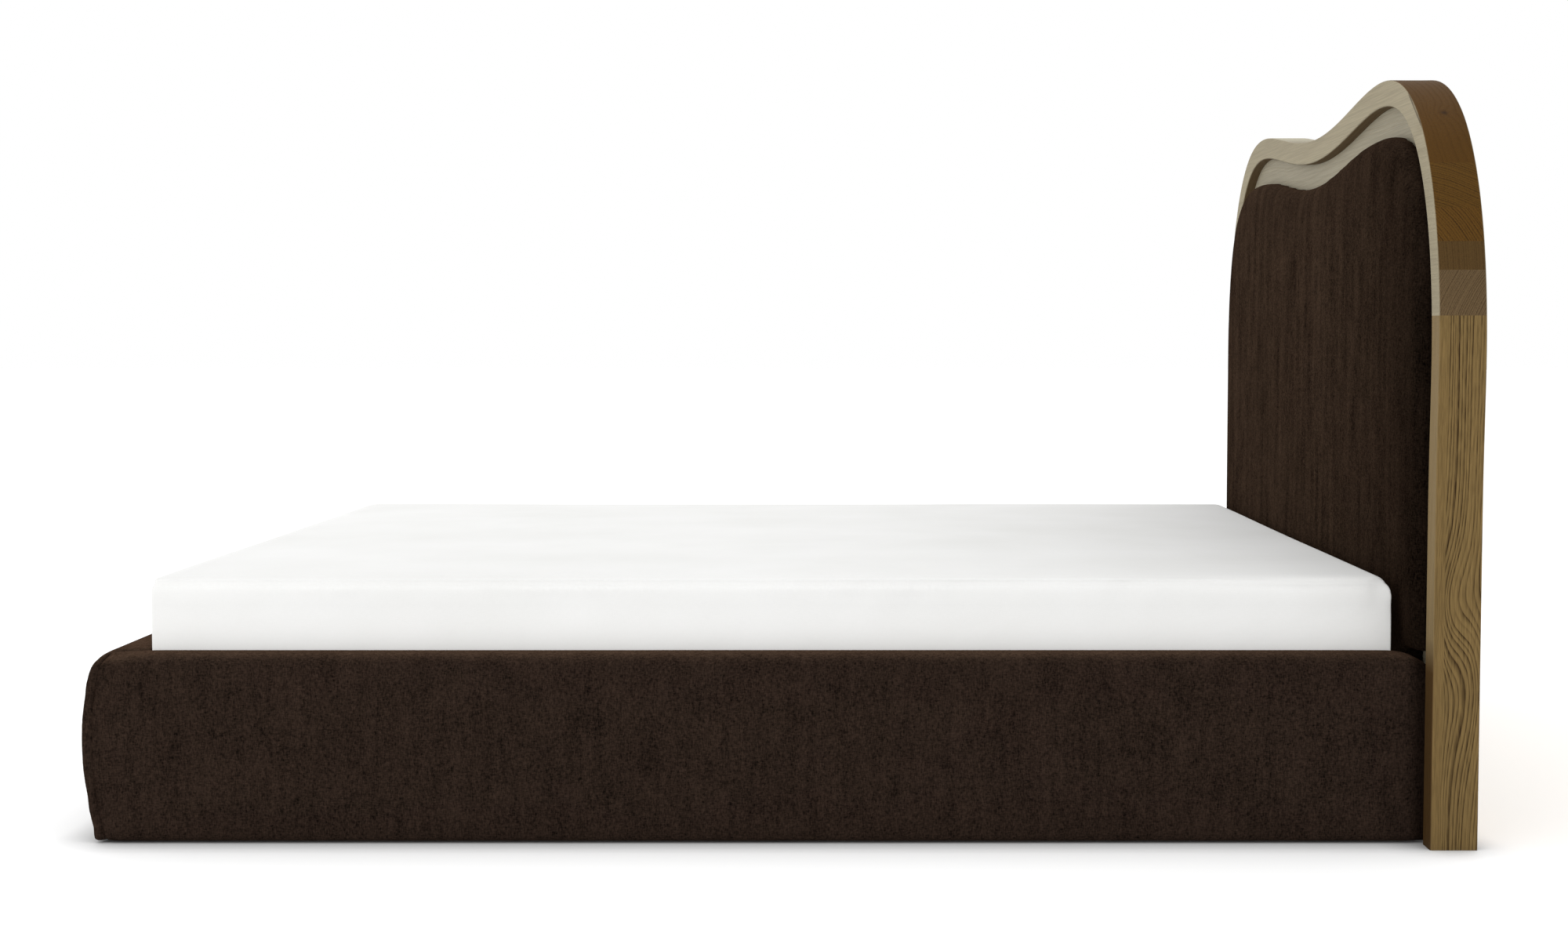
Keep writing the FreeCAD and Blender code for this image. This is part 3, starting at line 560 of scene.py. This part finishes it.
def stuffed(thing, held, pressure=4.0, inward=0.002, tether=0.2, low=-0.004, high=0.004, rounds=4):
    """Inflates the fabric skin over its foam with a cloth simulation. held(co)
    says how firmly each point is fixed, and tether how firmly the foam holds all
    the others; low and high only bound what a point may do."""
    mesh = thing.data
    first, out = points(mesh), normals(mesh)
    hold = held(first)
    start = first - out * (inward * (1 - hold))[:, None]
    set_points(mesh, start)
    group = thing.vertex_groups.new(name="held")
    level = np.round(np.maximum(hold, tether), 2)
    for weight in np.unique(level):
        if weight > 0:
            group.add(np.nonzero(level == weight)[0].tolist(), float(weight), "REPLACE")
    cloth = thing.modifiers.new("cloth", "CLOTH")
    s = cloth.settings
    s.use_pressure = True
    s.uniform_pressure_force = pressure
    s.vertex_group_mass = "held"
    s.effector_weights.gravity = 0
    s.bending_stiffness = 2
    cloth.point_cache.frame_start, cloth.point_cache.frame_end = 1, SIM_FRAMES
    for f in range(1, SIM_FRAMES + 1):
        SCENE.frame_set(f)
    graph = bpy.context.evaluated_depsgraph_get()
    ended = thing.evaluated_get(graph)
    moved = np.sum((points(ended.to_mesh()) - first) * out, axis=1)
    ended.to_mesh_clear()
    thing.modifiers.clear()
    thing.vertex_groups.clear()
    if np.ptp(moved[hold < 0.1]) < LEAST_SWELL:
        raise RuntimeError(thing.name + ": the cloth simulation did not move it")
    moved = relaxed(mesh, np.clip(moved, low, high) * (1 - hold), rounds)
    set_points(mesh, first + out * moved[:, None])
    SCENE.frame_set(1)


def shade_smooth(thing):
    thing.data.polygons.foreach_set("use_smooth", [True] * len(thing.data.polygons))


def divided(thing, levels=1):
    m = thing.modifiers.new("divide", "SUBSURF")
    m.levels = m.render_levels = levels
    bake(thing)


PAD_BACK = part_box("headboard_pad")[1].y
PAD_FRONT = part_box("headboard_pad")[0].y
VOXEL = 0.010


def upholstered(node, name, mat, held, shape=(), smooth=0):
    """A padded skin in place of a soft CAD solid."""
    thing = copied(node, name, mat)
    remeshed(thing, VOXEL)
    snapped(thing, node)
    welded(thing)
    if smooth:
        smoothed(thing, smooth)
    stuffed(thing, held)
    for change in shape:
        change(thing)
    divided(thing)
    shade_smooth(thing)
    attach(thing, "bed")
    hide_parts(node)
    return thing


def crowned(thing):
    """The pad's face falls away gently towards its edge."""
    co, n = points(thing.data), normals(thing.data)
    wall = co[(np.abs(n[:, 1]) < 0.4) & (co[:, 1] > PAD_FRONT + 0.018)]
    tree = kdtree.KDTree(len(wall))
    for i, p in enumerate(wall):
        tree.insert((p[0], 0, p[2]), i)
    tree.balance()
    near = np.array([tree.find((x, 0, z))[2] for x, _, z in co])
    short = relaxed(thing.data, np.maximum(0, 1 - near / 0.14), 6)
    face = step((PAD_BACK - 0.012 - co[:, 1]) / 0.02)
    co[:, 1] += 0.006 * short ** 2 * face
    set_points(thing.data, co)


upholstered("headboard_pad", "headboard_pad_fabric", PAD_VELVET,
            lambda co: step((co[:, 1] - PAD_BACK + 0.020) / 0.012), [crowned], 4)

FOOT_LOW, FOOT_HIGH = (np.array(c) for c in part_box("footboard_cover"))


def foot_line(z):
    """Y of the footboard's outward curve at height z."""
    t = (z - FOOT_LOW[2]) / (FOOT_HIGH[2] - FOOT_LOW[2])
    return FOOT_LOW[1] + 0.0190 * (2 * t - 1) ** 2


def corner_sag(thing):
    """Pulls the padded corner down to the point where the two covers meet."""
    co = points(thing.data)
    out = step((np.abs(co[:, 0]) - 0.790) / 0.075)
    along = step((-0.985 - co[:, 1]) / 0.11)
    up = step((co[:, 2] - 0.17) / 0.13)
    co[:, 2] -= 0.0105 * out * along * up
    set_points(thing.data, co)


def squared(thing, power=1.0, radius=0.024):
    """Draws the rounded upright corner out to the tighter one of the sewn cover."""
    co = points(thing.data)
    middle_x = FOOT_HIGH[0] - radius
    middle_y = foot_line(co[:, 2]) + radius
    dx = np.abs(co[:, 0]) - middle_x
    dy = middle_y - co[:, 1]
    size = np.hypot(dx, dy)
    inside = (dx > 0) & (dy > 0) & (size > 1e-6)
    biggest = np.maximum(dx, dy) / np.maximum(size, 1e-6)
    grow = np.where(inside, np.maximum(biggest, 0.7) ** -power, 1.0)
    grow = 1 + (grow - 1) * np.clip(size / radius, 0, 1)
    co[:, 0] = np.where(inside, np.sign(co[:, 0]) * (middle_x + dx * grow), co[:, 0])
    co[:, 1] = np.where(inside, middle_y - dy * grow, co[:, 1])
    co[:, 1] -= 0.0028 * step((np.abs(co[:, 0]) - 0.76) / 0.09) * step((-1.03 - co[:, 1]) / 0.03)
    set_points(thing.data, co)


def crest_squared(thing, power=0.8, radius=0.020):
    """Keeps the crest's rounding tighter where it turns the foot's corner."""
    co = points(thing.data)
    top = FOOT_HIGH[2] - radius
    dy = foot_line(np.full(len(co), FOOT_HIGH[2])) + radius - co[:, 1]
    dz = co[:, 2] - top
    size = np.hypot(dy, dz)
    inside = (dy > 0) & (dz > 0) & (size > 1e-6)
    biggest = np.maximum(dy, dz) / np.maximum(size, 1e-6)
    grow = np.where(inside, np.maximum(biggest, 0.7) ** -power, 1.0)
    grow = 1 + (grow - 1) * np.clip(size / radius, 0, 1) * step((np.abs(co[:, 0]) - 0.79) / 0.05)
    grow = np.minimum(grow, radius * 1.12 / np.maximum(size, 1e-6))
    grow = np.maximum(grow, 1)
    co[:, 1] = np.where(inside, co[:, 1] - dy * (grow - 1), co[:, 1])
    co[:, 2] = np.where(inside, co[:, 2] + dz * (grow - 1), co[:, 2])
    set_points(thing.data, co)


def hemmed(thing):
    """Takes the outer wall down to a crisp bottom edge."""
    co = points(thing.data)
    rise = co[:, 2] - FOOT_LOW[2]
    outer = (np.abs(co[:, 0]) > FOOT_HIGH[0] - 0.004) | (co[:, 1] < foot_line(co[:, 2]) + 0.004)
    fall = 0.0042 * np.exp(-(rise / 0.012) ** 2) * outer
    co[:, 2] = np.maximum(co[:, 2] - fall, FOOT_LOW[2])
    rim = (np.abs(co[:, 0]) > FOOT_HIGH[0] - 0.014) | (co[:, 1] < foot_line(co[:, 2]) + 0.014)
    co[:, 2] -= 0.0032 * rim * np.exp(-(rise / 0.02) ** 2)
    co[:, 2] -= 0.003 * step((co[:, 2] - 0.24) / 0.05)
    set_points(thing.data, co)


def meet(thing, toward, reach=0.0045):
    """Lets the skin lap over the seam between side and foot, so that only a
    shallow sewn crease shows. toward is -1 for the side's cover, 1 for the foot's."""
    co = points(thing.data)
    off = (co[:, 1] - foot_line(co[:, 2]) - 0.020) * toward
    corner = np.abs(co[:, 0]) > 0.795
    co[:, 1] += toward * reach * step((off + 0.016) / 0.013) * corner
    set_points(thing.data, co)


def set_back(thing):
    """The end by the headboard lies a little deeper, tucked behind the leg."""
    co = points(thing.data)
    outer = np.abs(co[:, 0]) > 0.852
    co[:, 0] -= np.sign(co[:, 0]) * 0.003 * step((co[:, 1] - 1.012) / 0.016) * outer
    set_points(thing.data, co)


SKIN_INNER = 0.82

for side, sign in (("left", -1), ("right", 1)):

    def rail_held(co, sign=sign):
        inner = step((SKIN_INNER - sign * co[:, 0]) / 0.012)
        return np.maximum(inner, step((0.03 - co[:, 2]) / 0.02))

    upholstered("side_rail_cover_" + side, "side_rail_fabric_" + side, VELVET, rail_held,
                [hemmed, squared, crest_squared, set_back, lambda thing: meet(thing, -1), corner_sag])

upholstered("footboard_cover", "footboard_fabric", VELVET,
            lambda co: np.maximum(step((co[:, 1] + 1.03) / 0.012), step((0.03 - co[:, 2]) / 0.02)),
            [hemmed, squared, crest_squared, lambda thing: meet(thing, 1), corner_sag])


def graded(low, high, rim, fine, coarse):
    """Grid lines that are fine within rim of both ends."""
    n = max(1, round(rim / fine))
    ends = np.linspace(0, rim, n + 1)
    m = max(1, round((high - low - 2 * rim) / coarse))
    middle = np.linspace(low + rim, high - rim, m + 1)
    return np.concatenate([low + ends[:-1], middle, (high - ends[:-1])[::-1]])


def rounded_box(name, low, high, radius, skip=None, rim=0.056, fine=0.007, coarse=0.022):
    """A box of quads with rounded edges. skip(centre, axis, end) leaves faces out."""
    lines = [graded(low[a], high[a], min(rim, (high[a] - low[a]) / 3), fine, coarse)
             for a in range(3)]
    index, verts, faces = {}, [], []

    def corner(i, j, k):
        if (i, j, k) not in index:
            index[i, j, k] = len(verts)
            verts.append((lines[0][i], lines[1][j], lines[2][k]))
        return index[i, j, k]

    for axis in range(3):
        u, v = [(1, 2), (2, 0), (0, 1)][axis]
        for end in (0, 1):
            at = (len(lines[axis]) - 1) * end
            for i in range(len(lines[u]) - 1):
                for j in range(len(lines[v]) - 1):
                    quad = []
                    for du, dv in ((0, 0), (1, 0), (1, 1), (0, 1)):
                        key = [0, 0, 0]
                        key[axis], key[u], key[v] = at, i + du, j + dv
                        quad.append(key)
                    centre = [np.mean([lines[a][key[a]] for key in quad]) for a in range(3)]
                    if skip and skip(centre, axis, end):
                        continue
                    if end == 0:
                        quad.reverse()
                    faces.append([corner(*key) for key in quad])
    co = np.array(verts)
    core = np.clip(co, np.array(low) + radius, np.array(high) - radius)
    out = co - core
    size = np.linalg.norm(out, axis=1, keepdims=True)
    co = np.where(size > 1e-9, core + out / np.maximum(size, 1e-9) * radius, co)
    mesh = bpy.data.meshes.new(name)
    mesh.from_pydata(co.tolist(), [], faces)
    mesh.update()
    return mesh


def field(co, scale, seed):
    """Smooth noise at each point."""
    return np.array([noise.noise(Vector((x * scale[0] + seed, y * scale[1], z * scale[2])))
                     for x, y, z in co])


M_LOW, M_HIGH = (np.array(c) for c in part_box("mattress"))
CLOTH = 0.0014
core_low = M_LOW + (0.003, 0.003, 0.003)
core_high = M_HIGH - (0.003, 0.003, 0.003)
core = add_object("mattress_core", rounded_box("mattress_core", core_low, core_high, 0.028), TICKING)


def softened(co):
    """Crown and slow unevenness of the mattress, the same for its sheet."""
    out = np.zeros_like(co)
    centre = (M_LOW + M_HIGH) / 2
    u = (co[:, 0] - centre[0]) / (M_HIGH[0] - centre[0])
    v = (co[:, 1] - centre[1]) / (M_HIGH[1] - centre[1])
    upper = step((co[:, 2] - M_LOW[2] - 0.12) / 0.08)
    crown = (1 - np.abs(u) ** 3) * (1 - np.abs(v) ** 3)
    out[:, 2] += upper * (0.0025 + 0.003 * crown + 0.0012 * field(co, (2.1, 2.1, 1), 3.0))
    out[:, 1] -= 0.0026 * step((-0.9 - co[:, 1]) / 0.1) * step((co[:, 2] - M_LOW[2] - 0.03) / 0.06)
    to_head = step((co[:, 1] - 0.6) / 0.38)
    out[:, 1] += to_head * (0.005 + 0.009 * step((0.8 - co[:, 0]) / 1.6))
    return out


set_points(core.data, points(core.data) + softened(points(core.data)))
shade_smooth(core)
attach(core, "mattress")
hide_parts("mattress")

HEM = 0.075
s_low = M_LOW + (0, 0, 0.0006)
s_high = M_HIGH
SHEET_ROUND = 0.030


def plan_squared(co, low, high, radius, power):
    """Tightens the upright corners of a rounded box."""
    middle, half = (low + high) / 2, (high - low) / 2
    d = np.abs(co[:, :2] - middle[:2]) - (half[:2] - radius)
    size = np.hypot(d[:, 0], d[:, 1])
    inside = (d[:, 0] > 0) & (d[:, 1] > 0) & (size > 1e-6)
    biggest = np.max(d, axis=1) / np.maximum(size, 1e-6)
    grow = np.where(inside, np.maximum(biggest, 0.7) ** -power, 1.0)
    grow = 1 + (grow - 1) * np.clip(size / radius, 0, 1)
    sign = np.sign(co[:, :2] - middle[:2])
    moved = middle[:2] + sign * (half[:2] - radius + d * grow[:, None])
    co[:, :2] = np.where(inside[:, None], moved, co[:, :2])
    return co


def edge_squared(co, low, high, radius, power=0.65):
    """Tightens the rounding of the top edge, all but at the head end."""
    middle, half = (low + high) / 2, (high - low) / 2
    d = np.abs(co[:, :2] - middle[:2]) - (half[:2] - radius)
    d = np.maximum(d, 0)
    flat = np.hypot(d[:, 0], d[:, 1])
    rise = co[:, 2] - (high[2] - radius)
    size = np.hypot(flat, rise)
    inside = (flat > 0) & (rise > 0) & (size > 1e-6)
    biggest = np.maximum(flat, rise) / np.maximum(size, 1e-6)
    grow = np.where(inside, np.maximum(biggest, 0.7) ** -power, 1.0) - 1
    grow = grow * np.clip(size / radius, 0, 1) * (1 - 0.8 * step((co[:, 1] - 0.55) / 0.38))
    sign = np.sign(co[:, :2] - middle[:2])
    co[:, :2] += sign * d * (grow * inside)[:, None]
    co[:, 2] += rise * grow * inside
    return co


def open_bottom(centre, axis, end):
    return (axis == 2 and end == 0 and s_low[0] + HEM < centre[0] < s_high[0] - HEM
            and s_low[1] + HEM < centre[1] < s_high[1] - HEM)


sheet_mesh = rounded_box("fitted_sheet", s_low, s_high, SHEET_ROUND, open_bottom, 0.04, 0.004)
sheet = add_object("fitted_sheet", sheet_mesh, COTTON)
co = edge_squared(points(sheet.data), s_low, s_high, SHEET_ROUND)
co = plan_squared(co, s_low, s_high, SHEET_ROUND, 0.92)
move = softened(co)
n = normals(sheet.data)
top = M_HIGH[2]
drop = top - co[:, 2]
wall = step((0.75 - np.abs(n[:, 2])) / 0.3)
upper_edge = np.exp(-((drop - 0.022) / 0.030) ** 2)
run = np.where(np.abs(n[:, 0]) > np.abs(n[:, 1]), co[:, 1], co[:, 0])
crease = field(np.stack([run * 17, drop * 5 + run * 2, co[:, 0] * 0], 1), (1, 1, 1), 9.0)
pucker = np.maximum(0, np.abs(crease) - 0.10)
more = 0.25 + 0.75 * step((co[:, 1] + 0.25) / 0.5)
move -= n * (0.007 * pucker * upper_edge * more * (drop > 0.004))[:, None]
# the seam of the top panel, pinched in where it runs around the edge
seam = np.exp(-((drop - 0.010) / 0.0045) ** 2)
uneven = np.abs(field(np.stack([run * 9, drop, drop], 1), (1, 1, 1), 4.0))
move -= n * (0.0036 * seam * (0.6 + 0.8 * uneven))[:, None]
slack = field(np.stack([run * 2.2, co[:, 2] * 3.0, co[:, 0] * 0.4], 1), (1, 1, 1), 21.0)
move += n * (0.0016 * slack * wall * step((drop - 0.03) / 0.05))[:, None]
set_points(sheet.data, co + move)
thick = sheet.modifiers.new("thick", "SOLIDIFY")
thick.thickness = CLOTH
thick.offset = -1
bake(sheet)
divided(sheet)
shade_smooth(sheet)
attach(sheet, "mattress")


# ---------------------------------------------------------------- studio

def plain_mesh(name, verts, faces):
    mesh = bpy.data.meshes.new(name)
    mesh.from_pydata(verts, [], faces)
    mesh.update()
    return mesh


g = Graph("studio_floor")
# painted shadow: the floor's colour and its glow are darkened where ambient occlusion finds the bed close
# by, a contact shadow under it
painted_contact_shadow = g.nt.nodes.new("ShaderNodeAmbientOcclusion")
painted_contact_shadow.inputs["Distance"].default_value = 0.075
painted_contact_shadow.samples = 8
g.put(g.bsdf.inputs["Base Color"], g.mix(painted_contact_shadow.outputs["AO"], (0.22, 0.22, 0.22), (0.94, 0.94, 0.94)))
g.put(g.bsdf.inputs["Emission Strength"], g.math("MULTIPLY", painted_contact_shadow.outputs["AO"], 0.19))
g.fixed(Roughness=0.9, Specular_IOR_Level=0.1, Emission_Color=(1, 1, 1, 1))
FLOOR = 60.0
floor_corners = [(-FLOOR, -FLOOR, 0), (FLOOR, -FLOOR, 0), (FLOOR, FLOOR, 0), (-FLOOR, FLOOR, 0)]
floor = add_object("floor", plain_mesh("floor", floor_corners, [(0, 1, 2, 3)]), g.mat)

world = bpy.data.worlds.new("studio")
SCENE.world = world
world.use_nodes = True
world.node_tree.nodes["Background"].inputs["Color"].default_value = (1, 1, 1, 1)
world.node_tree.nodes["Background"].inputs["Strength"].default_value = 1.0


def softbox(name, at, to, size, watts, colour=(1, 1, 1)):
    lamp = bpy.data.lights.new(name, "AREA")
    lamp.shape = "RECTANGLE"
    lamp.size, lamp.size_y = size
    lamp.energy = watts
    lamp.color = colour
    thing = bpy.data.objects.new(name, lamp)
    SCENE.collection.objects.link(thing)
    thing.location = at
    thing.rotation_euler = (Vector(to) - Vector(at)).to_track_quat("-Z", "Y").to_euler()
    return thing


softbox("key_foot", (0.5, -5.5, 3.6), (0, 0.6, 0.6), (4, 3), 14)
softbox("fill_side", (4.9, -3.2, 1.2), (0.8, -0.7, 0.3), (4, 1.8), 50)
softbox("fill_far", (-2.6, -2.3, 1.9), (-0.5, 1.0, 0.8), (3, 2), 16)
softbox("top_head", (0.1, 0.6, 3.1), (0.0, 0.6, 0.4), (2.5, 1.6), 12)

EYE = (4.27, 0.113, 0.799)
DOWN = 3.236
camera = bpy.data.cameras.new("camera")
camera.lens = 49.5
camera.sensor_width = 36.0
camera.shift_x = -0.04
camera.clip_end = 200
eye = bpy.data.objects.new("camera", camera)
eye.location = EYE
eye.rotation_euler = (math.radians(90 - DOWN), 0, math.radians(90))
SCENE.collection.objects.link(eye)
SCENE.camera = eye
SCENE.view_settings.view_transform = "Standard"
SCENE.view_settings.look = "None"

bpy.context.view_layer.update()
